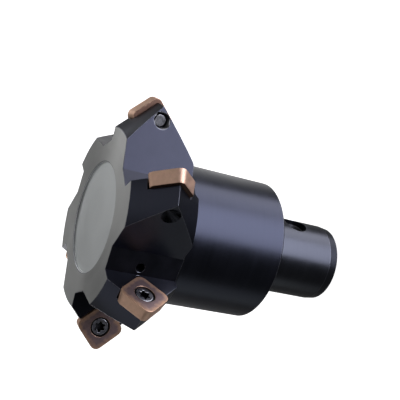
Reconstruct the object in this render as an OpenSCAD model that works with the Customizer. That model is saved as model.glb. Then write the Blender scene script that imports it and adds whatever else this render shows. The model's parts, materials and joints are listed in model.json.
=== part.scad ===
// Modular milling head with a 90 degree V edge: an integral steel body on a cross-bored pilot,
// with six square inserts set on their corners, their clamping screws and a floating drive pin.
// The origin is the centre of the shoulder face; +Z runs along the axis to the cutting end.

/* [Coupling] */
// Diameter of the pilot that enters the holder
pilot_d = 28; // [24:0.5:32]
// Length of the pilot below the shoulder face
pilot_l = 31; // [28:0.5:36]
// Length of the tapered lead-in at the pilot's end
lead_l = 3.7; // [2:0.1:5]
// How much the lead-in takes off the pilot's radius
lead_drop = 0.45; // [0.2:0.05:1]
// Diameter of the cross bore through the pilot
cross_d = 9; // [7:0.5:10]
// Distance of the cross bore below the shoulder face
cross_depth = 14.5; // [12:0.5:18]
// Diameter of the coolant bore from the pilot's end to the cross bore
coolant_d = 10; // [8:0.5:12]
// Diameter of the coolant bore above the cross bore
feed_d = 8; // [6:0.5:8]

/* [Body] */
// Diameter of the cylindrical body
body_d = 50; // [48:0.5:51]
// Size of the chamfer round the shoulder
shoulder_chamfer = 0.5; // [0.2:0.1:1]
// Height of the head's rear face above the shoulder
head_rear_z = 36.5; // [35:0.5:40]
// Height of the flat front face above the shoulder
head_front_z = 61.5; // [60:0.5:64]
// Diameter of the shallow recess in the front face
recess_d = 38.4; // [30:0.2:42]
// Depth of the front recess
recess_depth = 0.8; // [0.4:0.1:1.5]

/* [Cutting edges] */
// Cutting diameter over the inserts' outer corners
cutting_d = 90; // [88:0.5:92]
// Height of the inserts' outer corners above the shoulder
tip_z = 50; // [49:0.5:51]
// Number of inserts
teeth = 6; // [4:1:6]
// Angle of the first rake face from the cross bore's axis
first_tooth_angle = 19; // [0:1:59]
// Diameter of the steel ridge behind the inserts' corners
ridge_d = 86.4; // [85:0.1:87]

/* [Inserts] */
// Side of the square insert
insert_side = 12.7; // [12.6:0.1:12.8]
// Thickness of the insert
insert_t = 4.76; // [4.7:0.02:4.8]
// Corner radius of the insert
insert_corner = 2.5; // [1.6:0.1:2.6]
// Clearance angle of the insert's flanks
insert_relief = 7; // [5:1:9]
// How far the insert's rake face stands out of the tooth's flat
rake_proud = 1; // [0.6:0.1:1.4]
// Diameter of the clamping screw's thread
screw_d = 5; // [4.5:0.1:5]
// Length of the clamping screw over its head
screw_l = 10.7; // [10:0.1:11]

/* [Gullets] */
// Radius where the tooth's flat meets the gullet floor
flat_root_r = 27; // [26.5:0.1:28]
// Radius of the gullet's deepest line
gullet_r = 25.5; // [25.4:0.1:26]
// Angle from the tooth's flat to the gullet's deepest line
gullet_angle = 17; // [14:1:20]
// Direction of the next tooth's back wall, from the flat
back_wall_angle = 76.5; // [74:0.5:80]
// Diameter of each coolant outlet
outlet_d = 3; // [2:0.1:3.5]

/* [Hidden] */
$fn = 96;
eps = 0.01;

// running and seating gaps
thread_gap = 0.05;
pin_gap = 0.05;
seat_wall_gap = 0.12;
seat_floor_gap = 0.05;
head_gap = 0.08;

// coupling
pilot_r = pilot_d / 2;
lead_end_r = pilot_r - lead_drop;
rim_chamfer = 0.4;
bore_chamfer = 1;
bore_step_z = -cross_depth - cross_d / 2 - 0.5;
bore_top_z = 52;
drill_tip = feed_d / 2 * tan(31);

// head
outline_angle = 52.5;
head_fillet = 1.6;
rear_round = 1.2;
arc_steps = 6;
body_r = body_d / 2;
ridge_r = ridge_d / 2;
front_r = ridge_r - (head_front_z - tip_z);
rear_r = ridge_r - (tip_z - head_rear_z);
recess_bevel = 0.3;

// drive pin
pin_r = cross_d / 2 - pin_gap;
pin_l = 24;
pin_waist_r = 2.5;
pin_waist_l = 11;
pin_flare = 2;
pin_socket_r = 3.1;
pin_nose_r = 2.2;

// inserts, in each tooth's own frame: x outwards, y along the screw's axis, z along the head
insert_half = insert_side / 2;
corner_inset = insert_corner * (sqrt(2) - 1);
insert_r = cutting_d / 2 - (insert_half * sqrt(2) - corner_inset);
corner_at = insert_half - insert_corner;
flank_drop = insert_t * tan(insert_relief);
insert_hole_r = 2.75;

// seat
seat_floor = rake_proud - insert_t - seat_floor_gap;
seat_corner = -insert_half - seat_wall_gap;
seat_reach = 12;
seat_relief_r = 1.2;

// screw: its head's top lies under the rake face
screw_r = screw_d / 2;
head_top = -0.35;
head_r = 3.45;
head_land_r = 2.9;
head_bevel = 0.35;
cone_angle = 30;
cone_top = head_top - head_bevel;
head_cone = (head_r - screw_r) / tan(cone_angle);
sink_r = head_r + head_gap;
sink_cone = (sink_r - insert_hole_r) / tan(cone_angle);
tip_chamfer = 0.6;
socket_r = 1.95;
socket_depth = 2;
flute_r = 0.6;
flute_at = 2;
thread_bore_r = screw_r + thread_gap;
relief_bore_r = 3;
thread_l = 10;

// gullet corners, in the same tooth frame
gullet_root = [gullet_r * cos(gullet_angle), gullet_r * sin(gullet_angle)];
gullet_reach = 45;
gullet_top = gullet_root + gullet_reach * [cos(back_wall_angle), sin(back_wall_angle)];
gullet_start_z = head_rear_z - 2;
outlet_angle = 5;

function arc(centre, r, from, to) =
    [for (k = [0:arc_steps])
        let (a = from + (to - from) * k / arc_steps)
        centre + r * [cos(a), sin(a)]];

// Places a child in tooth n's frame
module at_tooth(n) {
    rotate([0, 0, first_tooth_angle + (n - 1) * 360 / teeth]) children();
}

// Places a child at tooth n's insert: its own +Z points out of the rake face
module at_insert(n) {
    at_tooth(n) translate([insert_r, rake_proud, tip_z]) rotate([-90, 0, 0]) children();
}

// Half outline of the body without its gullets, turned about the axis from a start between bores
module turned_blank() {
    rear_tan = rear_round * tan(22.5);
    rotate([0, 0, outline_angle]) rotate_extrude() polygon(concat(
        [
            [0, -pilot_l],
            [lead_end_r - rim_chamfer, -pilot_l],
            [lead_end_r, -pilot_l + rim_chamfer],
            [pilot_r, -pilot_l + lead_l],
            [pilot_r, 0],
            [body_r - shoulder_chamfer, 0],
            [body_r, shoulder_chamfer]
        ],
        arc([body_r + head_fillet, head_rear_z - head_fillet], head_fillet, 180, 90),
        arc([rear_r - rear_tan, head_rear_z + rear_round], rear_round, -90, -45),
        [
            [ridge_r, tip_z],
            [front_r, head_front_z],
            [recess_d / 2 + recess_bevel, head_front_z],
            [recess_d / 2, head_front_z - recess_bevel],
            [recess_d / 2, head_front_z - recess_depth],
            [0, head_front_z - recess_depth]
        ]
    ));
}

// Blind central bore in two diameters, with a chamfered mouth and a drilled end
module coolant_bore() {
    r = coolant_d / 2;
    feed_r = feed_d / 2;
    rotate_extrude() polygon([
        [0, -pilot_l - 1],
        [r + bore_chamfer + 1, -pilot_l - 1],
        [r, -pilot_l + bore_chamfer],
        [r, bore_step_z],
        [feed_r, bore_step_z],
        [feed_r, bore_top_z],
        [0, bore_top_z + drill_tip]
    ]);
}

// The space between one tooth's flat and the back wall of the next
module gullet() {
    translate([0, 0, gullet_start_z])
        linear_extrude(head_front_z - gullet_start_z + 1)
            polygon([
                [flat_root_r, 0],
                gullet_root,
                gullet_top,
                [60, 52],
                [60, 0]
            ]);
}

// Corner seat that opens outwards
module insert_seat() {
    translate([0, 0, seat_floor - rake_proud]) rotate([0, 0, -45])
        translate([seat_corner, seat_corner, 0])
            cube([seat_reach, seat_reach, insert_t + rake_proud + 2]);
}

// Relief hole in the seat's inner corner
module seat_relief() {
    translate([seat_corner * sqrt(2) + seat_relief_r / 2, 0, seat_floor - rake_proud])
        cylinder(r = seat_relief_r, h = insert_t + rake_proud + 2);
}

// Threaded hole through the tooth, opened out behind the thread
module screw_hole() {
    translate([0, 0, -thread_l - eps]) cylinder(r = thread_bore_r, h = thread_l + eps);
    translate([0, 0, -thread_l - 12]) cylinder(r = relief_bore_r, h = 12);
}

module cutter_body() {
    color("#20222c") difference() {
        turned_blank();
        coolant_bore();
        translate([0, 0, -cross_depth]) rotate([0, 90, 0])
            cylinder(d = cross_d, h = pilot_d + 2, center = true);
        for (n = [1:teeth]) {
            at_tooth(n) gullet();
            at_insert(n) insert_seat();
            at_insert(n) seat_relief();
            at_insert(n) screw_hole();
            at_tooth(n) translate([0, 0, tip_z]) rotate([0, 90, outlet_angle])
                cylinder(d = outlet_d, h = flat_root_r + 2);
        }
    }
}

// Floating pin along X: a conical socket at +X, a conical nose at -X, a waist for the coolant
module drive_pin() {
    half = pin_l / 2;
    waist = pin_waist_l / 2;
    color("#6c6e74") translate([0, 0, -cross_depth]) rotate([0, 90, 0]) rotate_extrude() polygon([
        [0, -half],
        [pin_nose_r, -half],
        [pin_r, -half + pin_r - pin_nose_r],
        [pin_r, -waist],
        [pin_waist_r, -waist + pin_flare],
        [pin_waist_r, waist - pin_flare],
        [pin_r, waist],
        [pin_r, half - rim_chamfer],
        [pin_r - rim_chamfer, half],
        [pin_socket_r, half],
        [0, half - pin_socket_r]
    ]);
}

// Prism with two sloping flanks: one of the two that cross to make the insert's square
module flanked_bar() {
    rotate([90, 0, 0]) linear_extrude(2 * corner_at, center = true) polygon([
        [-insert_half, 0],
        [insert_half, 0],
        [insert_half - flank_drop, -insert_t],
        [-insert_half + flank_drop, -insert_t]
    ]);
}

module insert_blank() {
    flanked_bar();
    rotate([0, 0, 90]) flanked_bar();
    for (x = [-1, 1], y = [-1, 1])
        translate([x * corner_at, y * corner_at, -insert_t])
            cylinder(r1 = insert_corner - flank_drop, r2 = insert_corner, h = insert_t);
}

module countersunk_hole() {
    rotate_extrude() polygon([
        [0, 1],
        [sink_r, 1],
        [sink_r, cone_top],
        [insert_hole_r, cone_top - sink_cone],
        [insert_hole_r, -insert_t - 1],
        [0, -insert_t - 1]
    ]);
}

module insert(n) {
    color("#a5806e") at_insert(n) difference() {
        rotate([0, 0, 45]) insert_blank();
        countersunk_hole();
    }
}

// Six-lobed driver socket
module driver_socket() {
    translate([0, 0, head_top - socket_depth]) linear_extrude(socket_depth + 1) difference() {
        circle(socket_r);
        for (k = [0:5]) rotate(60 * k + 30) translate([flute_at, 0]) circle(flute_r);
    }
}

module insert_screw(n) {
    color("#4a4c52") at_insert(n) difference() {
        rotate_extrude() polygon([
            [0, head_top],
            [head_land_r, head_top],
            [head_r, cone_top],
            [screw_r, cone_top - head_cone],
            [screw_r, head_top - screw_l + tip_chamfer],
            [screw_r - tip_chamfer, head_top - screw_l],
            [0, head_top - screw_l]
        ]);
        driver_socket();
    }
}

cutter_body();
drive_pin();
for (n = [1:teeth]) {
    insert(n);
    insert_screw(n);
}
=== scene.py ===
"""Looks of a 90 degree V milling head: a steel body, six coated square inserts with their screws, and a
drive pin.

Everything is in metres in the CAD frame: the origin is the centre of the shoulder face, and +Z runs to
the cutting end. The insert and its screw are each made once, in the insert's own frame, and are placed
from the joints.
"""

import json
import math

import bmesh
import bpy
from mathutils import Matrix, Vector


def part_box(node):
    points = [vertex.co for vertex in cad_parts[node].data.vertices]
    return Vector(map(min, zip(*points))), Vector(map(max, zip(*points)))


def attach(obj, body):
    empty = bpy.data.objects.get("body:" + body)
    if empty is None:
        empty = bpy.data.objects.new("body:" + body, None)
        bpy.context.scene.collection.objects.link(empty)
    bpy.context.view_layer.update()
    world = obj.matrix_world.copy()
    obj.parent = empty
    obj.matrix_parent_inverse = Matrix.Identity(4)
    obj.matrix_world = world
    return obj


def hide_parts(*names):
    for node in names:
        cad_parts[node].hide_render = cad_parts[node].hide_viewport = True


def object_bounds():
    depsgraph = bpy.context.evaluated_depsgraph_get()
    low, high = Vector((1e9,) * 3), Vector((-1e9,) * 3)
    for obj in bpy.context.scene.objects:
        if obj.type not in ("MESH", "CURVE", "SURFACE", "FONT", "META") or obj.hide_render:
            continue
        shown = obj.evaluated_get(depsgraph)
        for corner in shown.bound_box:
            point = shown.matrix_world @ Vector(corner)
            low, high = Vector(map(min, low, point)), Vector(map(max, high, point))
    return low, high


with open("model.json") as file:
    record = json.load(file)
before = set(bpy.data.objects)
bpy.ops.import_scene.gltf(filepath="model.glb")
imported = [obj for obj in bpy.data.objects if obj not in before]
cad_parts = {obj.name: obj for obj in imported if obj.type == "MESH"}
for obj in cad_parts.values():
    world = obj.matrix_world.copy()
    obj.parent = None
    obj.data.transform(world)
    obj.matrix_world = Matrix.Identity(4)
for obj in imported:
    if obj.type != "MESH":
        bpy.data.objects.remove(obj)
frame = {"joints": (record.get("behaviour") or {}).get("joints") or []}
cad_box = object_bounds()

MM = 0.001

# coupling and body, in millimetres
PILOT_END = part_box("cutter_body")[0].z / MM
PILOT_R = 14.0
LEAD_END_R = 13.55
LEAD_LENGTH = 3.7
# LEAD_LINE is the width of a painted highlight line at the top of the pilot's lead cone
LEAD_LINE = 0.15
RIM_CHAMFER = 0.4
CROSS_R = 4.5
CROSS_DEPTH = 14.5
CROSS_HALF = 20.0
BORE_R = 5.0
BORE_CHAMFER = 1.0
BORE_STEP = -19.5
FEED_R = 4.0
FEED_TOP = 52.0
FEED_POINT = FEED_R * math.tan(math.radians(31))
BODY_R = 25.0
SHOULDER_CHAMFER = 0.5

# head
HEAD_REAR = 36.5
HEAD_FRONT = 61.5
TIP_HEIGHT = 50.0
RIDGE_R = 43.2
HEAD_FILLET = 1.6
REAR_ROUND = 1.2
RECESS_R = 19.2
RECESS_DEPTH = 0.8
RECESS_BEVEL = 0.3

# gullets, in each tooth's frame: x outwards, y along the screw
FLAT_ROOT_R = 27.0
GULLET_R = 25.5
GULLET_ANGLE = math.radians(17)
GULLET_FOOT = HEAD_REAR - 2
GULLET_FAR_CORNER = (60, 52)
BACK_WALL_ANGLE = math.radians(76.5)
BACK_WALL_REACH = 45.0
OUTLET_R = 1.5
OUTLET_START = 3.2
OUTLET_END = FLAT_ROOT_R + 2
OUTLET_ANGLE = math.radians(5)

# inserts and seats, in each insert's frame: z out of the rake face, x outwards
INSERT_HALF = 6.35
INSERT_T = 4.76
INSERT_CORNER = 2.5
FLANK_DROP = INSERT_T * math.tan(math.radians(7))
INSERT_HOLE_R = 2.75
HONE = 0.1
FOOT_ROUND = 0.12
RAKE_RINGS = (0.9, 1.6, 2.3)
BRONZE_START = 1.7
BRONZE_FULL = 0.2
BRONZE_WANDER = 0.5
RAKE_PROUD = 1.0
SEAT_FLOOR = -INSERT_T - 0.05
SEAT_CORNER = -INSERT_HALF - 0.12
SEAT_REACH = 12.0
SEAT_RELIEF_R = 1.2

# screws and their holes, in the same frame
HEAD_TOP = -0.35
HEAD_R = 3.45
HEAD_LAND_R = 2.9
HEAD_BEVEL = 0.35
HEAD_ROUND = 0.15
HEAD_EDGE = 0.06
HEAD_GAP = 0.08
CONE_SLOPE = math.tan(math.radians(30))
SOCKET_R = 1.95
SOCKET_DEPTH = 2.0
SOCKET_LEAD = 0.1
SOCKET_FLOOR_SHARE = 0.9
SOCKET_FLOOR_BEVEL = 0.15
SOCKET_POINT = 0.2
FLUTE_R = 0.6
FLUTE_AT = 2.0
SCREW_R = 2.5
SCREW_END = -11.05
NECK_R = 2.1
NECK_TAPER = 0.3
NECK_LENGTH = 0.5
END_CHAMFER = 0.6
END_EDGE = 0.08
PITCH = 0.8
THREAD_DEPTH = 0.42
THREAD_FLAT = 0.1
THREAD_BORE_R = 2.55
THREAD_BORE_TOP = -3.0
THREAD_BORE_END = -10.0
RELIEF_BORE_R = 3.0
BEHIND_TOOTH = -25.0
LINER_R = RELIEF_BORE_R - 0.03
LINER_OUTER_R = RELIEF_BORE_R + 0.15
LINER_DEPTH = 0.8 * THREAD_DEPTH
LINER_LENGTH = 11.0
LINER_SETBACK = 0.3

# drive pin
PIN_R = 4.45
PIN_HALF = 12.0
PIN_WAIST_R = 2.5
PIN_WAIST_HALF = 5.5
PIN_SOCKET_R = 3.1
PIN_NOSE_R = 2.2

# how far a cutter reaches past the face that it starts from
PAST = 1.0

# finish of the meshes
TURN_STEPS = 240
BORE_STEPS = 96
SCREW_STEPS = 96
LINER_STEPS = 72
THREAD_ROWS = 8
EDGE_BREAK = 0.13 * MM
PIN_EDGE_BREAK = 0.1 * MM
SLIVER = 0.02 * MM
FLAT_ANGLE = math.radians(0.5)
BROKEN_ANGLE = math.radians(32)
SMOOTH_ANGLE = math.radians(25)
EDGE_REACH_ANGLE = math.radians(60)
THREAD_SHARP_ANGLE = math.radians(35)
TINY = 1e-6


# ---------------------------------------------------------------- camera and softboxes

CAMERA_AT = Vector((0.11171, -0.25318, 0.15324))
CAMERA_AIM = Vector((0.0128, 0.0049, 0.0238))
CAMERA_ROLL = math.radians(77.05)
CAMERA_LENS = 76.31
LIGHT_MIDDLE = Vector((0, 0, 0.03))
LIGHT_DISTANCE = 0.7


def link(obj):
    bpy.context.scene.collection.objects.link(obj)
    return obj


def facing(place, target):
    """Rotation that turns an object's -Z towards the target."""
    return (target - place).to_track_quat("-Z", "Y")


def make_camera():
    """Camera at the photograph's angle, rolled because the object stands upright here."""
    data = bpy.data.cameras.new("camera")
    data.lens = CAMERA_LENS
    data.clip_start = 0.01
    camera = link(bpy.data.objects.new("camera", data))
    aimed = facing(CAMERA_AT, CAMERA_AIM).to_matrix().to_4x4()
    camera.matrix_world = Matrix.Translation(CAMERA_AT) @ aimed @ Matrix.Rotation(-CAMERA_ROLL, 4, "Z")
    bpy.context.scene.camera = camera


def softbox(name, azimuth, elevation, width, height, power, colour=(1, 1, 1)):
    """Area light that looks at the head's middle from an azimuth round +Z, counted from +X."""
    a, e = math.radians(azimuth), math.radians(elevation)
    towards = Vector((math.cos(a) * math.cos(e), math.sin(a) * math.cos(e), math.sin(e)))
    place = LIGHT_MIDDLE + LIGHT_DISTANCE * towards
    data = bpy.data.lights.new(name, "AREA")
    data.shape = "RECTANGLE"
    data.size = width
    data.size_y = height
    data.energy = power
    data.color = colour
    light = link(bpy.data.objects.new(name, data))
    light.location = place
    light.rotation_mode = "QUATERNION"
    light.rotation_quaternion = facing(place, LIGHT_MIDDLE)
    light.visible_camera = False


# ---------------------------------------------------------------- node helpers

# spans of a noise's value over which a colour or a roughness changes
TIGHT = (0.38, 0.62)
EVEN = (0.35, 0.65)
WIDE = (0.3, 0.7)


class Nodes:
    """A new material's node tree, with short calls to add to it."""

    def __init__(self, name):
        self.material = bpy.data.materials.new(name)
        self.material.use_nodes = True
        self.tree = self.material.node_tree
        self.surface = self.tree.nodes["Principled BSDF"]

    def add(self, kind, inputs=(), **settings):
        made = self.tree.nodes.new(kind)
        for key, value in settings.items():
            setattr(made, key, value)
        for key, value in dict(inputs).items():
            self.put(made.inputs[key], value)
        return made

    def put(self, socket, value):
        if isinstance(value, bpy.types.NodeSocket):
            self.tree.links.new(value, socket)
        else:
            socket.default_value = value

    def set(self, name, value):
        """Gives one of the shader's sockets a constant or another node's output."""
        self.put(self.surface.inputs[name], value)

    def place(self):
        """Position in the piece's own frame, in millimetres."""
        coords = self.add("ShaderNodeTexCoord")
        return self.scaled(coords.outputs["Object"], (1 / MM,) * 3)

    def scaled(self, vector, by):
        return self.add("ShaderNodeVectorMath", {0: vector, 1: by}, operation="MULTIPLY").outputs[0]

    def maths(self, operation, *values):
        return self.add("ShaderNodeMath", dict(enumerate(values)), operation=operation).outputs[0]

    def length(self, a, b):
        squares = self.maths("ADD", self.maths("MULTIPLY", a, a), self.maths("MULTIPLY", b, b))
        return self.maths("SQRT", squares)

    def mixed(self, a, share, b):
        """The first value's share, and the rest of the second."""
        return self.maths("ADD", self.maths("MULTIPLY", a, share), self.maths("MULTIPLY", b, 1 - share))

    def noise(self, vector, scale, detail=3.0):
        inputs = {"Vector": vector, "Scale": scale, "Detail": detail, "Roughness": 0.55}
        return self.add("ShaderNodeTexNoise", inputs).outputs[0]

    def between(self, value, span, low, high):
        """Runs from low to high while the value crosses the span."""
        inputs = {"Value": value, "From Min": span[0], "From Max": span[1], "To Min": low, "To Max": high}
        return self.add("ShaderNodeMapRange", inputs).outputs[0]

    def blend(self, factor, a, b):
        made = self.add("ShaderNodeMix", {"Factor": factor}, data_type="RGBA")
        self.put(made.inputs[6], a)
        self.put(made.inputs[7], b)
        return made.outputs[2]

    def bump(self, height, distance, normal=None):
        made = self.add("ShaderNodeBump", {"Height": height, "Distance": distance, "Strength": 1.0})
        if normal:
            self.put(made.inputs["Normal"], normal)
        return made.outputs[0]

    def metal(self, tone, colour_span, dark, light, sheen_span, roughness, spread):
        """Bare metal whose colour and roughness both follow the tone."""
        self.set("Metallic", 1.0)
        self.set("Base Color", self.blend(self.between(tone, colour_span, 0, 1), dark, light))
        self.set("Roughness", self.between(tone, sheen_span, roughness - spread, roughness + spread))


def rgb(r, g, b):
    return (r, g, b, 1.0)


def around_axis(n, place, feed, drift):
    """Coordinates that hardly change round +Z, so that noise in them runs in turned rings."""
    x, y, z = n.add("ShaderNodeSeparateXYZ", {0: place}).outputs
    rings = n.add("ShaderNodeCombineXYZ", {
        0: n.maths("MULTIPLY", n.length(x, y), feed),
        1: n.maths("MULTIPLY", z, feed),
        2: n.maths("MULTIPLY", n.maths("ARCTAN2", y, x), drift),
    })
    return rings.outputs[0]


def around_tangent(n):
    """Direction round +Z, along the turning marks."""
    coords = n.add("ShaderNodeTexCoord").outputs["Object"]
    cross = n.add("ShaderNodeVectorMath", {0: (0, 0, 1), 1: coords}, operation="CROSS_PRODUCT")
    return n.add("ShaderNodeVectorMath", {0: cross.outputs[0]}, operation="NORMALIZE").outputs[0]


# ---------------------------------------------------------------- materials

def turned_steel(name, dark, light, roughness, stretch, groove):
    """Turned steel: noise in rings breaks up its colour, its sheen and its surface."""
    n = Nodes(name)
    place = n.place()
    rings = around_axis(n, place, feed=2.2, drift=0.6)
    cloud = n.noise(place, scale=0.09, detail=2.0)
    bands = n.noise(rings, scale=0.35, detail=2.0)
    n.metal(n.mixed(cloud, 0.6, bands), TIGHT, dark, light, EVEN, roughness, spread=0.035)
    n.set("Anisotropic", stretch)
    n.set("Anisotropic Rotation", 0.25)
    n.set("Tangent", around_tangent(n))
    n.set("Normal", n.bump(n.noise(rings, scale=2.5), groove))
    return n.material


def milled_steel(name, dark, light, roughness):
    """Milled and oxidised steel: shallow cusps from the cutter, and a mottled oxide."""
    n = Nodes(name)
    place = n.place()
    n.metal(n.noise(place, scale=0.16), EVEN, dark, light, WIDE, roughness, spread=0.04)
    cusps = n.noise(n.scaled(place, (0.5, 0.5, 4.0)), scale=1.4, detail=2.0)
    grain = n.noise(place, scale=5.0, detail=2.0)
    n.set("Normal", n.bump(cusps, 0.006 * MM, n.bump(grain, 0.0015 * MM)))
    return n.material


def plain_metal(name, dark, light, roughness, scale=0.8):
    """Metal with a fine mottle, for edges, bores and small parts."""
    n = Nodes(name)
    place = n.place()
    n.metal(n.noise(place, scale), WIDE, dark, light, WIDE, roughness, spread=0.05)
    n.set("Normal", n.bump(n.noise(place, scale=9.0, detail=2.0), 0.002 * MM))
    return n.material


def rake_coating():
    """Bronze coating on the rake face: bronze near the rounded square's edge, purple-brown in its middle."""
    n = Nodes("coated_rake")
    place = n.place()
    x, y, _ = n.add("ShaderNodeSeparateXYZ", {0: place}).outputs
    past_core = []
    for diagonal in ("ADD", "SUBTRACT"):
        from_middle = n.maths("ABSOLUTE", n.maths("MULTIPLY", n.maths(diagonal, x, y), math.sqrt(0.5)))
        beyond = n.maths("SUBTRACT", from_middle, INSERT_HALF - INSERT_CORNER)
        past_core.append(n.maths("MAXIMUM", beyond, 0.0))
    blotch = n.noise(place, scale=0.55)
    reach = n.maths("ADD", n.length(*past_core), n.between(blotch, WIDE, -BRONZE_WANDER, BRONZE_WANDER))
    band = n.between(reach, (INSERT_CORNER - BRONZE_START, INSERT_CORNER - BRONZE_FULL), 0, 1)
    middle = n.blend(n.between(blotch, EVEN, 0, 1), rgb(0.125, 0.088, 0.090), rgb(0.165, 0.112, 0.110))
    grain = n.noise(place, scale=7.0)
    n.set("Base Color", n.blend(band, middle, rgb(0.33, 0.20, 0.13)))
    n.set("Metallic", 0.75)
    n.set("Roughness", n.between(grain, WIDE, 0.31, 0.41))
    n.set("Normal", n.bump(grain, 0.003 * MM))
    return n.material


def flank_coating():
    """The same coating on the ground flanks, with the grinding marks running along the insert."""
    n = Nodes("coated_flank")
    place = n.place()
    marks = n.noise(n.scaled(place, (6.0, 6.0, 0.6)), scale=1.6)
    tone = n.mixed(n.noise(place, scale=0.5), 0.7, marks)
    n.metal(tone, TIGHT, rgb(0.50, 0.33, 0.245), rgb(0.62, 0.415, 0.31), EVEN, 0.55, spread=0.05)
    n.set("Normal", n.bump(marks, 0.003 * MM))
    return n.material


BODY_FINISHES = ("turned", "milled", "front", "recess", "bore", "edge", "ground", "thread")
BODY_MATERIALS = (
    turned_steel("oxide_turned", rgb(0.025, 0.027, 0.037), rgb(0.029, 0.031, 0.043), 0.34, 0.3, 0.002 * MM),
    milled_steel("oxide_milled", rgb(0.020, 0.021, 0.028), rgb(0.025, 0.026, 0.035), 0.38),
    turned_steel("front_turned", rgb(0.46, 0.465, 0.46), rgb(0.50, 0.505, 0.50), 0.44, 0.5, 0.002 * MM),
    turned_steel("recess_turned", rgb(0.63, 0.65, 0.655), rgb(0.66, 0.68, 0.685), 0.5, 0.0, 0.001 * MM),
    plain_metal("oxide_bore", rgb(0.02, 0.021, 0.028), rgb(0.03, 0.031, 0.04), 0.5),
    # lighter than the oxide, partly for real rubbing on the broken edges and partly as a painted highlight
    # that draws bright lines along them and along the pilot's lead line
    plain_metal("rubbed_edge_and_painted_highlight", rgb(0.075, 0.078, 0.095), rgb(0.15, 0.155, 0.18), 0.34),
    turned_steel("oxide_ground", rgb(0.036, 0.038, 0.046), rgb(0.041, 0.043, 0.052), 0.33, 0.2, 0.0004 * MM),
    plain_metal("tapped_thread", rgb(0.05, 0.05, 0.053), rgb(0.10, 0.10, 0.104), 0.35),
)
INSERT_FINISHES = ("rake", "flank", "edge", "hole", "base")
INSERT_MATERIALS = (
    rake_coating(),
    flank_coating(),
    plain_metal("honed_edge", rgb(0.40, 0.24, 0.17), rgb(0.58, 0.37, 0.27), 0.34),
    # the countersink wall is far darker than the coating round it: painted shade in the gap round the screw's
    # head
    plain_metal("coated_hole_painted_shade", rgb(0.10, 0.075, 0.07), rgb(0.14, 0.10, 0.09), 0.5),
    plain_metal("coated_base", rgb(0.095, 0.055, 0.04), rgb(0.125, 0.075, 0.055), 0.5),
)
SCREW_FINISHES = ("head", "thread", "end", "edge", "socket")
SCREW_MATERIALS = (
    plain_metal("screw_head", rgb(0.13, 0.13, 0.15), rgb(0.21, 0.21, 0.23), 0.34),
    plain_metal("screw_thread", rgb(0.12, 0.12, 0.13), rgb(0.20, 0.20, 0.21), 0.38),
    plain_metal("screw_end", rgb(0.03, 0.03, 0.031), rgb(0.13, 0.13, 0.133), 0.45, scale=1.3),
    # the screw's rims and edges are much lighter than its head: painted highlight along them
    plain_metal("screw_edge_painted_highlight", rgb(0.35, 0.35, 0.37), rgb(0.55, 0.55, 0.57), 0.3),
    # near-black in the socket and on the head's outer bevel: painted shade in the socket and in the gap round
    # the head
    plain_metal("screw_socket_painted_shade", rgb(0.015, 0.015, 0.017), rgb(0.03, 0.03, 0.033), 0.5),
)
# both pin colours are near-black so that the cross bore reads dark: painted shade in the bore
PIN_FINISHES = ("ground", "edge")
PIN_MATERIALS = (
    plain_metal("pin_ground_painted_shade", rgb(0.012, 0.012, 0.014), rgb(0.020, 0.020, 0.023), 0.45),
    plain_metal("pin_edge_painted_shade", rgb(0.025, 0.025, 0.03), rgb(0.045, 0.045, 0.05), 0.4),
)


def body_slot(finish):
    return BODY_FINISHES.index(finish)


# ---------------------------------------------------------------- mesh helpers

def arc(centre, radius, start, end, steps):
    """Points of an arc, with its angles in degrees."""
    angles = (math.radians(start + (end - start) * k / steps) for k in range(steps + 1))
    return [(centre[0] + radius * math.cos(a), centre[1] + radius * math.sin(a)) for a in angles]


def finish_mesh(bm, name, materials):
    mesh = bpy.data.meshes.new(name)
    bm.to_mesh(mesh)
    bm.free()
    for material in materials:
        mesh.materials.append(material)
    return mesh


def add_band(bm, low, high, steps, slot):
    """Faces between two rings of vertices. A ring of one vertex closes an end."""
    for k in range(steps):
        low_side = [low[k % len(low)], low[(k + 1) % len(low)]]
        high_side = [high[(k + 1) % len(high)], high[k % len(high)]]
        face = bm.faces.new(list(dict.fromkeys(low_side + high_side)))
        face.material_index = slot


def turned(name, outline, slots, materials, steps):
    """Solid of revolution about +Z. The outline is (radius, z) from one end of the axis to the other, in
    millimetres, and slots gives the material of each of its stretches."""
    bm = bmesh.new()
    angles = [2 * math.pi * k / steps for k in range(steps)]
    rings = []
    for radius, z in outline:
        spots = [(radius * MM * math.cos(a), radius * MM * math.sin(a), z * MM) for a in angles]
        rings.append([bm.verts.new(spot) for spot in (spots if radius else spots[:1])])
    for low, high, slot in zip(rings, rings[1:], slots):
        add_band(bm, low, high, steps, slot)
    return finish_mesh(bm, name, materials)


def prism(name, outline, low, high, slot, materials):
    """Upright prism over an outline, in millimetres."""
    bm = bmesh.new()
    floor = bm.faces.new([bm.verts.new((x * MM, y * MM, low * MM)) for x, y in outline])
    lifted = bmesh.ops.extrude_face_region(bm, geom=[floor])["geom"]
    top = [g for g in lifted if isinstance(g, bmesh.types.BMVert)]
    bmesh.ops.translate(bm, vec=(0, 0, (high - low) * MM), verts=top)
    bmesh.ops.recalc_face_normals(bm, faces=bm.faces)
    for face in bm.faces:
        face.material_index = slot
    return finish_mesh(bm, name, materials)


def merged(name, mesh, places):
    """One mesh of several copies, each moved to its place."""
    bm = bmesh.new()
    for place in places:
        before = len(bm.verts)
        bm.from_mesh(mesh)
        bm.verts.ensure_lookup_table()
        bmesh.ops.transform(bm, matrix=place, verts=bm.verts[before:])
    return finish_mesh(bm, name, mesh.materials)


def apply_modifiers(obj):
    bpy.context.view_layer.update()
    graph = bpy.context.evaluated_depsgraph_get()
    made = bpy.data.meshes.new_from_object(obj.evaluated_get(graph))
    obj.modifiers.clear()
    obj.data = made


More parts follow.
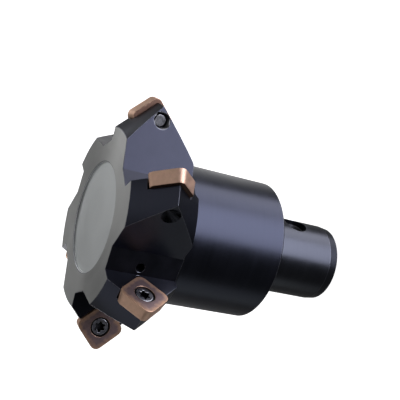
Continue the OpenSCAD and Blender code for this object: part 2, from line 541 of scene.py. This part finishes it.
def cut(blank, cutter):
    """Takes the cutter's mesh out of the blank, which is an object."""
    tool = link(bpy.data.objects.new("cutter", cutter))
    step = blank.modifiers.new("cut", "BOOLEAN")
    step.operation = "DIFFERENCE"
    step.solver = "EXACT"
    step.material_mode = "INDEX"
    step.object = tool
    apply_modifiers(blank)
    bpy.data.objects.remove(tool)


def clean_cuts(mesh):
    """Removes the slivers that cuts leave, and joins the pieces of each flat face."""
    bm = bmesh.new()
    bm.from_mesh(mesh)
    bmesh.ops.remove_doubles(bm, verts=bm.verts, dist=SLIVER)
    bmesh.ops.dissolve_degenerate(bm, edges=bm.edges, dist=SLIVER)
    bmesh.ops.dissolve_limit(bm, angle_limit=FLAT_ANGLE, verts=bm.verts, edges=bm.edges, delimit={"MATERIAL"})
    bm.to_mesh(mesh)
    bm.free()


def break_edges(obj, width, slot):
    """Rounds every sharp outer edge a little and gives the round its own material slot."""
    bm = bmesh.new()
    bm.from_mesh(obj.data)
    weight = bm.edges.layers.float.new("bevel_weight_edge")
    for edge in bm.edges:
        edge[weight] = float(edge.calc_face_angle_signed() > BROKEN_ANGLE)
    bm.to_mesh(obj.data)
    bm.free()
    step = obj.modifiers.new("edges", "BEVEL")
    step.width = width
    step.segments = 2
    step.limit_method = "WEIGHT"
    step.use_clamp_overlap = False
    step.material = slot
    step.miter_outer = "MITER_ARC"
    apply_modifiers(obj)


def shade(mesh, edge_slot, round_slots=()):
    """Sets each corner's normal: faces that meet within SMOOTH_ANGLE flow together, a broken edge takes its
    normals from the faces beside it, and faces turned about +Z get the exact normal of the turned surface."""
    faces = mesh.polygons
    slots = [face.material_index for face in faces]
    plain = [face.normal.copy() for face in faces]
    around = [[] for _ in mesh.vertices]
    for face in faces:
        for v in face.vertices:
            around[v].append(face.index)

    def at_corner(index, v):
        """The face's own normal there."""
        normal, spot = plain[index], mesh.vertices[v].co
        radius = math.hypot(spot.x, spot.y)
        if slots[index] not in round_slots or radius < TINY:
            return normal
        outwards = (normal.x * spot.x + normal.y * spot.y) / radius
        side = math.copysign(math.hypot(normal.x, normal.y), outwards)
        return Vector((side * spot.x / radius, side * spot.y / radius, normal.z))

    def beside(face, v):
        """The faces whose normals are mixed at the corner."""
        if slots[face.index] == edge_slot:
            near = [i for i in around[v] if slots[i] != edge_slot]
            return [i for i in near if plain[i].dot(face.normal) > math.cos(EDGE_REACH_ANGLE)] or around[v]
        near = [i for i in around[v] if slots[i] == slots[face.index]]
        return [i for i in near if plain[i].dot(face.normal) > math.cos(SMOOTH_ANGLE)]

    normals = []
    for face in faces:
        for v in face.vertices:
            total = sum((at_corner(i, v) for i in beside(face, v)), Vector())
            normals.append(total.normalized() if total.length > TINY else face.normal)
    mesh.shade_smooth()
    mesh.normals_split_custom_set(normals)


# ---------------------------------------------------------------- tooth frames, from the joints

def insert_places():
    """For each tooth: its number and the matrix of its insert's frame, which the screw's joint gives."""
    places = {}
    for joint in frame["joints"]:
        if not joint["name"].endswith("_turn"):
            continue
        out = Vector(joint["axis"]).normalized()
        radial = out.cross(Vector((0, 0, 1)))
        turn = Matrix((radial, (0, 0, -1), out)).transposed().to_4x4()
        places[int(joint["name"].split("_")[1])] = Matrix.Translation(joint["pos_m"]) @ turn
    return places


def tooth_turn(insert_place):
    """Rotation about +Z that brings +X onto the tooth's radial direction."""
    radial = insert_place.to_3x3().col[0]
    return Matrix.Rotation(math.atan2(radial.y, radial.x), 4, "Z")


INSERT_AT = insert_places()
TOOTH_AT = {number: tooth_turn(place) for number, place in INSERT_AT.items()}
TEETH = sorted(INSERT_AT)
ALONG_X = Matrix.Rotation(math.pi / 2, 4, "Y")


# ---------------------------------------------------------------- steel body

def body_outline():
    """Half outline of the turned body, and the material slot of each of its stretches."""
    rear_r = RIDGE_R - (TIP_HEIGHT - HEAD_REAR)
    front_r = RIDGE_R - (HEAD_FRONT - TIP_HEIGHT)
    round_r = rear_r - REAR_ROUND * math.tan(math.radians(22.5))
    lead_top = PILOT_END + LEAD_LENGTH
    lead_line_r = PILOT_R - LEAD_LINE * (PILOT_R - LEAD_END_R) / LEAD_LENGTH
    pilot_foot = [(0, PILOT_END), (LEAD_END_R - RIM_CHAMFER, PILOT_END)]
    pilot_foot += [(LEAD_END_R, PILOT_END + RIM_CHAMFER)]
    body = [(BODY_R - SHOULDER_CHAMFER, 0), (BODY_R, SHOULDER_CHAMFER)]
    body += arc((BODY_R + HEAD_FILLET, HEAD_REAR - HEAD_FILLET), HEAD_FILLET, 180, 90, 8)
    body += arc((round_r, HEAD_REAR + REAR_ROUND), REAR_ROUND, -90, -45, 4)
    after_points = [
        ("ground", pilot_foot),
        # a thin band of the edge colour on the lead cone, shaped like the cone round it: a painted highlight
        # line
        ("edge", [(lead_line_r, lead_top - LEAD_LINE)]),
        ("ground", [(PILOT_R, lead_top), (PILOT_R, 0)]),
        ("turned", body + [(RIDGE_R, TIP_HEIGHT)]),
        ("front", [(front_r, HEAD_FRONT)]),
        ("recess", [(RECESS_R + RECESS_BEVEL, HEAD_FRONT), (RECESS_R, HEAD_FRONT - RECESS_BEVEL)]),
        ("recess", [(RECESS_R, HEAD_FRONT - RECESS_DEPTH), (0, HEAD_FRONT - RECESS_DEPTH)]),
    ]
    points = [point for _, part in after_points for point in part]
    slots = [body_slot(finish) for finish, part in after_points for _ in part]
    return points, slots[:-1]


def gullet_cutter():
    """Prism from the flat in front of a tooth, over the gullet's root, along the next tooth's back."""
    root = GULLET_R * Vector((math.cos(GULLET_ANGLE), math.sin(GULLET_ANGLE)))
    top = root + BACK_WALL_REACH * Vector((math.cos(BACK_WALL_ANGLE), math.sin(BACK_WALL_ANGLE)))
    outline = [(FLAT_ROOT_R, 0), tuple(root), tuple(top), GULLET_FAR_CORNER, (GULLET_FAR_CORNER[0], 0)]
    return prism("gullet", outline, GULLET_FOOT, HEAD_FRONT + PAST, body_slot("milled"), BODY_MATERIALS)


def seat_cutter():
    """Square pocket for an insert, before it is set on its corner."""
    low, high = SEAT_CORNER, SEAT_CORNER + SEAT_REACH
    outline = [(low, low), (high, low), (high, high), (low, high)]
    return prism("seat", outline, SEAT_FLOOR, RAKE_PROUD + PAST, body_slot("milled"), BODY_MATERIALS)


def round_cutter(name, outline, steps):
    """Cutter turned about its own +Z."""
    return turned(name, outline, [body_slot("bore")] * (len(outline) - 1), BODY_MATERIALS, steps)


def drill(name, radius, start, end, steps):
    return round_cutter(name, [(0, start), (radius, start), (radius, end), (0, end)], steps)


def screw_hole_cutter():
    """Tapping bore from the seat, widened behind the thread."""
    outline = [(0, BEHIND_TOOTH), (RELIEF_BORE_R, BEHIND_TOOTH), (RELIEF_BORE_R, THREAD_BORE_END),
               (THREAD_BORE_R, THREAD_BORE_END), (THREAD_BORE_R, THREAD_BORE_TOP), (0, THREAD_BORE_TOP)]
    return round_cutter("screw_hole", outline, steps=64)


def coolant_cutter():
    """Chamfered mouth in the pilot's end, and the narrower feed above it with its drill point."""
    outline = [(0, PILOT_END - PAST), (BORE_R + BORE_CHAMFER + PAST, PILOT_END - PAST),
               (BORE_R, PILOT_END + BORE_CHAMFER), (BORE_R, BORE_STEP), (FEED_R, BORE_STEP),
               (FEED_R, FEED_TOP), (0, FEED_TOP + FEED_POINT)]
    return round_cutter("coolant", outline, BORE_STEPS)


def body_cutters():
    """What is cut out of the turned body, in the order of the cuts."""
    seat_turn = Matrix.Rotation(-math.pi / 4, 4, "Z")
    relief_at = Matrix.Translation(((SEAT_CORNER * math.sqrt(2) + SEAT_RELIEF_R / 2) * MM, 0, 0))
    relief = drill("relief", SEAT_RELIEF_R, SEAT_FLOOR, RAKE_PROUD + 2 * PAST, steps=32)
    cross_at = Matrix.Translation((0, 0, -CROSS_DEPTH * MM)) @ ALONG_X
    cross = drill("cross", CROSS_R, -CROSS_HALF, CROSS_HALF, BORE_STEPS)
    outlet_at = Matrix.Translation((0, 0, TIP_HEIGHT * MM)) @ Matrix.Rotation(OUTLET_ANGLE, 4, "Z") @ ALONG_X
    outlet = drill("outlet", OUTLET_R, OUTLET_START, OUTLET_END, steps=40)
    return [
        merged("gullets", gullet_cutter(), [TOOTH_AT[n] for n in TEETH]),
        merged("seats", seat_cutter(), [INSERT_AT[n] @ seat_turn for n in TEETH]),
        merged("reliefs", relief, [INSERT_AT[n] @ relief_at for n in TEETH]),
        merged("screw_holes", screw_hole_cutter(), [INSERT_AT[n] for n in TEETH]),
        coolant_cutter(),
        merged("cross", cross, [cross_at]),
        merged("outlets", outlet, [TOOTH_AT[n] @ outlet_at for n in TEETH]),
    ]


def make_body():
    outline, slots = body_outline()
    blank = turned("steel_body", outline, slots, BODY_MATERIALS, TURN_STEPS)
    body = link(bpy.data.objects.new("steel_body", blank))
    for cutter in body_cutters():
        cut(body, cutter)
    clean_cuts(body.data)
    break_edges(body, EDGE_BREAK, body_slot("edge"))
    round_slots = [body_slot(finish) for finish in ("turned", "front", "recess", "ground")]
    shade(body.data, body_slot("edge"), round_slots)
    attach(body, "cutter")
    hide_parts("cutter_body")


# ---------------------------------------------------------------- inserts and screws, made of rings

def loft(name, rings, slots, materials, closed=False):
    """Skin over rings of points, in millimetres. A ring of one point closes an end. With closed set, the
    last ring joins the first. slots gives the material of each band between two rings."""
    bm = bmesh.new()
    made = [[bm.verts.new(Vector(point) * MM) for point in points] for points in rings]
    steps = max(len(points) for points in rings)
    after = made[1:] + made[:1] if closed else made[1:]
    for near, far, slot in zip(made, after, slots):
        add_band(bm, near, far, steps, slot)
    bmesh.ops.recalc_face_normals(bm, faces=bm.faces)
    return finish_mesh(bm, name, materials)


def ring(radius, z, steps):
    """Level ring about +Z. The radius is a number or a function of the angle."""
    reach = radius if callable(radius) else lambda a: radius
    angles = (2 * math.pi * k / steps for k in range(steps))
    return [(reach(a) * math.cos(a), reach(a) * math.sin(a), z) for a in angles]


def rounded(points, edge, after):
    """Points of a rounded edge, each with the slot of the band that follows it."""
    return [(point, edge) for point in points[:-1]] + [(points[-1], after)]


def square_outline(inset):
    """The insert's rounded square, standing on its corner, inset by so much. Its count of points is fixed."""
    corner_steps, side_steps = 12, 6
    core = INSERT_HALF - INSERT_CORNER
    points = []
    for quarter in range(4):
        turn = Matrix.Rotation(math.pi / 2 * quarter, 2)
        start, end = 90 * quarter, 90 * quarter + 90
        points += arc(turn @ Vector((core, core)), INSERT_CORNER - inset, start, end, corner_steps)
        side_start = Vector(points[-1])
        side_end = side_start + turn @ Vector((-2 * core, 0))
        points += [tuple(side_start.lerp(side_end, k / side_steps)) for k in range(1, side_steps)]
    on_corner = Matrix.Rotation(-math.pi / 4, 2)
    return [on_corner @ Vector(point) for point in points]


OUTLINE_ANGLES = [math.atan2(p.y, p.x) for p in square_outline(0)]


def square_ring(inset, z):
    return [(p.x, p.y, z) for p in square_outline(inset)]


def hole_ring(radius, z):
    """Ring in the insert's hole whose points lie in the same directions as the outline's."""
    return [(radius * math.cos(a), radius * math.sin(a), z) for a in OUTLINE_ANGLES]


def insert_mesh():
    """Square insert: honed edge, ground flanks with clearance, hole sunk for the screw's head."""
    rake, flank, edge, hole, base = range(len(INSERT_FINISHES))
    sink_r, sink_z = HEAD_R + HEAD_GAP, HEAD_TOP - HEAD_BEVEL
    cone_z = sink_z - (sink_r - INSERT_HOLE_R) / CONE_SLOPE
    foot_z = FOOT_ROUND - INSERT_T
    outside = rounded(arc((FLANK_DROP + FOOT_ROUND, foot_z), FOOT_ROUND, -90, -180, 2), edge, flank)
    outside += rounded(arc((HONE, -HONE), HONE, 180, 90, 3), edge, rake)
    outside += [((inset, 0), rake) for inset in RAKE_RINGS]
    inside = rounded(arc((sink_r + HONE, -HONE), HONE, 90, 180, 2), edge, hole)
    inside += [((sink_r, sink_z), hole), ((INSERT_HOLE_R, cone_z), hole)]
    inside += rounded(arc((INSERT_HOLE_R + FOOT_ROUND, foot_z), FOOT_ROUND, 180, 270, 2), edge, base)
    levels = [(square_ring(*point), slot) for point, slot in outside]
    levels += [(hole_ring(*point), slot) for point, slot in inside]
    rings, slots = zip(*levels)
    mesh = loft("insert", rings, slots, INSERT_MATERIALS, closed=True)
    shade(mesh, edge)
    return mesh


def socket_reach(a):
    """The six-lobed socket's radius at an angle."""
    off = (a % (math.pi / 3)) - math.pi / 6
    side = FLUTE_AT * math.sin(off)
    if abs(side) >= FLUTE_R:
        return SOCKET_R
    return min(SOCKET_R, FLUTE_AT * math.cos(off) - math.sqrt(FLUTE_R ** 2 - side ** 2))


def thread_form(z, a):
    """How deep a thread's profile is at a height and an angle: 0 on the crest's flat, 1 on the root's."""
    phase = (z / PITCH + a / (2 * math.pi)) % 1
    return min(max((abs(2 * phase - 1) - THREAD_FLAT) / (1 - 2 * THREAD_FLAT), 0), 1)


def thread_heights(start, end):
    """Heights of a thread's rings, THREAD_ROWS to each turn."""
    count = round(abs(end - start) / PITCH * THREAD_ROWS)
    return [start + (end - start) * k / count for k in range(count + 1)]


def socket_levels(head, edge, socket):
    """The socket from its point up to the head's face: rings, each with the slot of the band after it."""
    bottom = HEAD_TOP - SOCKET_DEPTH
    return [
        ([(0, 0, bottom - SOCKET_POINT)], socket),
        (ring(lambda a: SOCKET_FLOOR_SHARE * socket_reach(a), bottom, SCREW_STEPS), socket),
        (ring(socket_reach, bottom + SOCKET_FLOOR_BEVEL, SCREW_STEPS), socket),
        (ring(socket_reach, HEAD_TOP - SOCKET_LEAD, SCREW_STEPS), edge),
        (ring(lambda a: socket_reach(a) + SOCKET_LEAD, HEAD_TOP, SCREW_STEPS), head),
    ]


def screw_mesh():
    """Countersunk screw with a six-lobed socket, a rounded head and a real thread."""
    head, thread, end, edge, socket = range(len(SCREW_FINISHES))
    cone_top = HEAD_TOP - HEAD_BEVEL
    shank_top = cone_top - (HEAD_R - SCREW_R) / CONE_SLOPE
    end_r = SCREW_R - END_CHAMFER
    rim = arc((HEAD_LAND_R - HEAD_ROUND, HEAD_TOP - HEAD_ROUND), HEAD_ROUND, 90, 45, 2)
    profile = rounded(rim, edge, socket)
    profile += [((HEAD_R - HEAD_EDGE, cone_top + HEAD_EDGE), edge), ((HEAD_R, cone_top), head)]
    profile += [((SCREW_R, shank_top), head), ((NECK_R, shank_top - NECK_TAPER), thread)]
    levels = socket_levels(head, edge, socket)
    levels += [(ring(*point, SCREW_STEPS), slot) for point, slot in profile]
    for z in thread_heights(shank_top - NECK_LENGTH, SCREW_END + END_CHAMFER):
        levels.append((ring(lambda a: SCREW_R - THREAD_DEPTH * thread_form(z, a), z, SCREW_STEPS), thread))
    levels.append((ring(end_r, SCREW_END, SCREW_STEPS), edge))
    levels.append((ring(end_r - END_EDGE, SCREW_END, SCREW_STEPS), end))
    levels.append(([(0, 0, SCREW_END)], end))
    rings, slots = zip(*levels)
    mesh = loft("screw", rings, slots, SCREW_MATERIALS)
    shade(mesh, edge)
    return mesh


def make_inserts():
    insert, screw = insert_mesh(), screw_mesh()
    for number, place in INSERT_AT.items():
        plate = link(bpy.data.objects.new(f"coated_insert_{number}", insert))
        plate.matrix_world = place
        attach(plate, f"insert_{number}")
        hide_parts(f"insert_{number}")
        bolt = link(bpy.data.objects.new(f"clamping_screw_{number}", screw))
        bolt.matrix_world = place
        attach(bolt, f"screw_{number}")
        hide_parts(f"insert_screw_{number}")


# ---------------------------------------------------------------- threads in the body, and the drive pin

def thread_liner():
    """Threaded wall of the hole behind a screw, longer than any tooth is deep."""
    top, bottom = THREAD_BORE_END, THREAD_BORE_END - LINER_LENGTH
    rings = [ring(lambda a: LINER_R - LINER_DEPTH * (1 - thread_form(z, a)), z, LINER_STEPS)
             for z in thread_heights(top, bottom)]
    rings += [ring(LINER_OUTER_R, bottom, LINER_STEPS), ring(LINER_OUTER_R, top, LINER_STEPS)]
    return loft("thread_liner", rings, [body_slot("thread")] * len(rings), BODY_MATERIALS, closed=True)


def make_thread_walls():
    """A liner in each screw hole, cut off just inside the hole's mouth in the tooth's back."""
    liner = thread_liner()
    root = GULLET_R * MM * Vector((math.cos(GULLET_ANGLE), math.sin(GULLET_ANGLE), 0))
    out = Vector((math.sin(BACK_WALL_ANGLE), -math.cos(BACK_WALL_ANGLE), 0))
    bm = bmesh.new()
    for number in TEETH:
        tooth_behind = TOOTH_AT[number] @ Matrix.Rotation(-2 * math.pi / len(TEETH), 4, "Z")
        mouth = tooth_behind @ (root - out * LINER_SETBACK * MM)
        part = bmesh.new()
        part.from_mesh(liner)
        bmesh.ops.transform(part, matrix=INSERT_AT[number], verts=part.verts)
        split = bmesh.ops.bisect_plane(
            part, geom=part.verts[:] + part.edges[:] + part.faces[:],
            plane_co=mouth, plane_no=tooth_behind.to_3x3() @ out, clear_outer=True,
        )
        ends = [g for g in split["geom_cut"] if isinstance(g, bmesh.types.BMEdge)]
        bmesh.ops.bridge_loops(part, edges=ends)
        piece = bpy.data.meshes.new("piece")
        part.to_mesh(piece)
        part.free()
        bm.from_mesh(piece)
        bpy.data.meshes.remove(piece)
    for face in bm.faces:
        face.smooth = True
    walls = link(bpy.data.objects.new("thread_walls", finish_mesh(bm, "thread_walls", BODY_MATERIALS)))
    walls.data.set_sharp_from_angle(angle=THREAD_SHARP_ANGLE)
    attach(walls, "cutter")


def make_pin():
    """Floating drive pin: its own +Z runs along the cross bore, to the conical socket."""
    ground, edge = range(len(PIN_FINISHES))
    low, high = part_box("drive_pin")
    flare = PIN_R - PIN_WAIST_R
    nose = [(0, -PIN_HALF), (PIN_NOSE_R, -PIN_HALF), (PIN_R, -PIN_HALF + PIN_R - PIN_NOSE_R)]
    waist = [(PIN_R, -PIN_WAIST_HALF), (PIN_WAIST_R, -PIN_WAIST_HALF + flare)]
    waist += [(PIN_WAIST_R, PIN_WAIST_HALF - flare), (PIN_R, PIN_WAIST_HALF)]
    socket_end = [(PIN_R, PIN_HALF - RIM_CHAMFER), (PIN_R - RIM_CHAMFER, PIN_HALF)]
    socket_end += [(PIN_SOCKET_R, PIN_HALF), (0, PIN_HALF - PIN_SOCKET_R)]
    outline = nose + waist + socket_end
    mesh = turned("floating_pin", outline, [ground] * (len(outline) - 1), PIN_MATERIALS, BORE_STEPS)
    pin = link(bpy.data.objects.new("floating_pin", mesh))
    break_edges(pin, PIN_EDGE_BREAK, edge)
    shade(pin.data, edge, [ground])
    pin.matrix_world = Matrix.Translation((low + high) / 2) @ ALONG_X
    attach(pin, "drive_pin")
    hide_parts("drive_pin")


# ---------------------------------------------------------------- floor, backdrop, lights and world

STAGE_R = 4.0
STAGE_COLOUR = rgb(0.82, 0.82, 0.82)
FLOOR_GAP = 0.2 * MM
FLOOR_GLOW = 1.25
BACKDROP_GLOW = 1.3
WORLD_BELOW = 0.10
WORLD_ABOVE = 0.12


def pale(name, glow):
    n = Nodes(name)
    n.set("Base Color", STAGE_COLOUR)
    n.set("Roughness", 0.9)
    n.set("Emission Color", STAGE_COLOUR)
    n.set("Emission Strength", glow)
    return n.material


def make_stage():
    """A floor just under the pilot's end and a sphere round everything, neither of them mirrored."""
    bm = bmesh.new()
    bmesh.ops.create_circle(bm, cap_ends=True, segments=96, radius=STAGE_R)
    floor = link(bpy.data.objects.new("floor", finish_mesh(bm, "floor", [pale("floor_pale", FLOOR_GLOW)])))
    floor.location.z = cad_box[0][2] - FLOOR_GAP
    floor.visible_glossy = False
    floor.visible_shadow = False
    bm = bmesh.new()
    bmesh.ops.create_uvsphere(bm, u_segments=64, v_segments=32, radius=STAGE_R)
    sphere = finish_mesh(bm, "backdrop", [pale("backdrop_pale", BACKDROP_GLOW)])
    backdrop = link(bpy.data.objects.new("backdrop", sphere))
    backdrop.visible_glossy = False
    backdrop.visible_diffuse = False
    backdrop.visible_shadow = False


def make_lights():
    """Wide softboxes low down for the band along the body, smaller ones above for the head."""
    softbox("key", azimuth=-35, elevation=-27, width=0.6, height=0.45, power=6.1, colour=(1, 1.02, 1.16))
    softbox("second", azimuth=13, elevation=-27, width=0.4, height=0.45, power=2.9, colour=(1, 1, 1.08))
    softbox("side", azimuth=72, elevation=-20, width=0.7, height=0.3, power=0.5)
    softbox("rim", azimuth=-152, elevation=-22, width=0.35, height=0.3, power=0.22, colour=(1, 1.06, 1.02))
    softbox("back", azimuth=150, elevation=-5, width=0.7, height=0.3, power=2.2)
    softbox("low", azimuth=20, elevation=5, width=0.35, height=0.35, power=0.8)
    softbox("near", azimuth=-18, elevation=58, width=0.35, height=0.35, power=0.28)
    softbox("far", azimuth=80, elevation=30, width=0.4, height=0.3, power=0.8)
    softbox("high", azimuth=100, elevation=55, width=0.4, height=0.4, power=0.35)
    softbox("left", azimuth=-165, elevation=42, width=0.4, height=0.4, power=0.42)
    softbox("top", azimuth=0, elevation=88, width=0.5, height=0.5, power=0.35)


def make_world():
    """Dim surroundings, a little brighter above than below."""
    world = bpy.data.worlds.new("studio")
    bpy.context.scene.world = world
    world.use_nodes = True
    tree = world.node_tree
    coords = tree.nodes.new("ShaderNodeTexCoord")
    split = tree.nodes.new("ShaderNodeSeparateXYZ")
    fade = tree.nodes.new("ShaderNodeMapRange")
    fade.interpolation_type = "SMOOTHSTEP"
    limits = {"From Min": -0.3, "From Max": 0.2, "To Min": WORLD_BELOW, "To Max": WORLD_ABOVE}
    for key, value in limits.items():
        fade.inputs[key].default_value = value
    background = tree.nodes["Background"]
    background.inputs["Color"].default_value = rgb(1, 1, 1)
    tree.links.new(coords.outputs["Generated"], split.inputs[0])
    tree.links.new(split.outputs[2], fade.inputs["Value"])
    tree.links.new(fade.outputs[0], background.inputs["Strength"])


make_camera()
make_world()
make_lights()
make_stage()
make_body()
make_thread_walls()
make_inserts()
make_pin()
bpy.context.scene.view_settings.view_transform = "Standard"
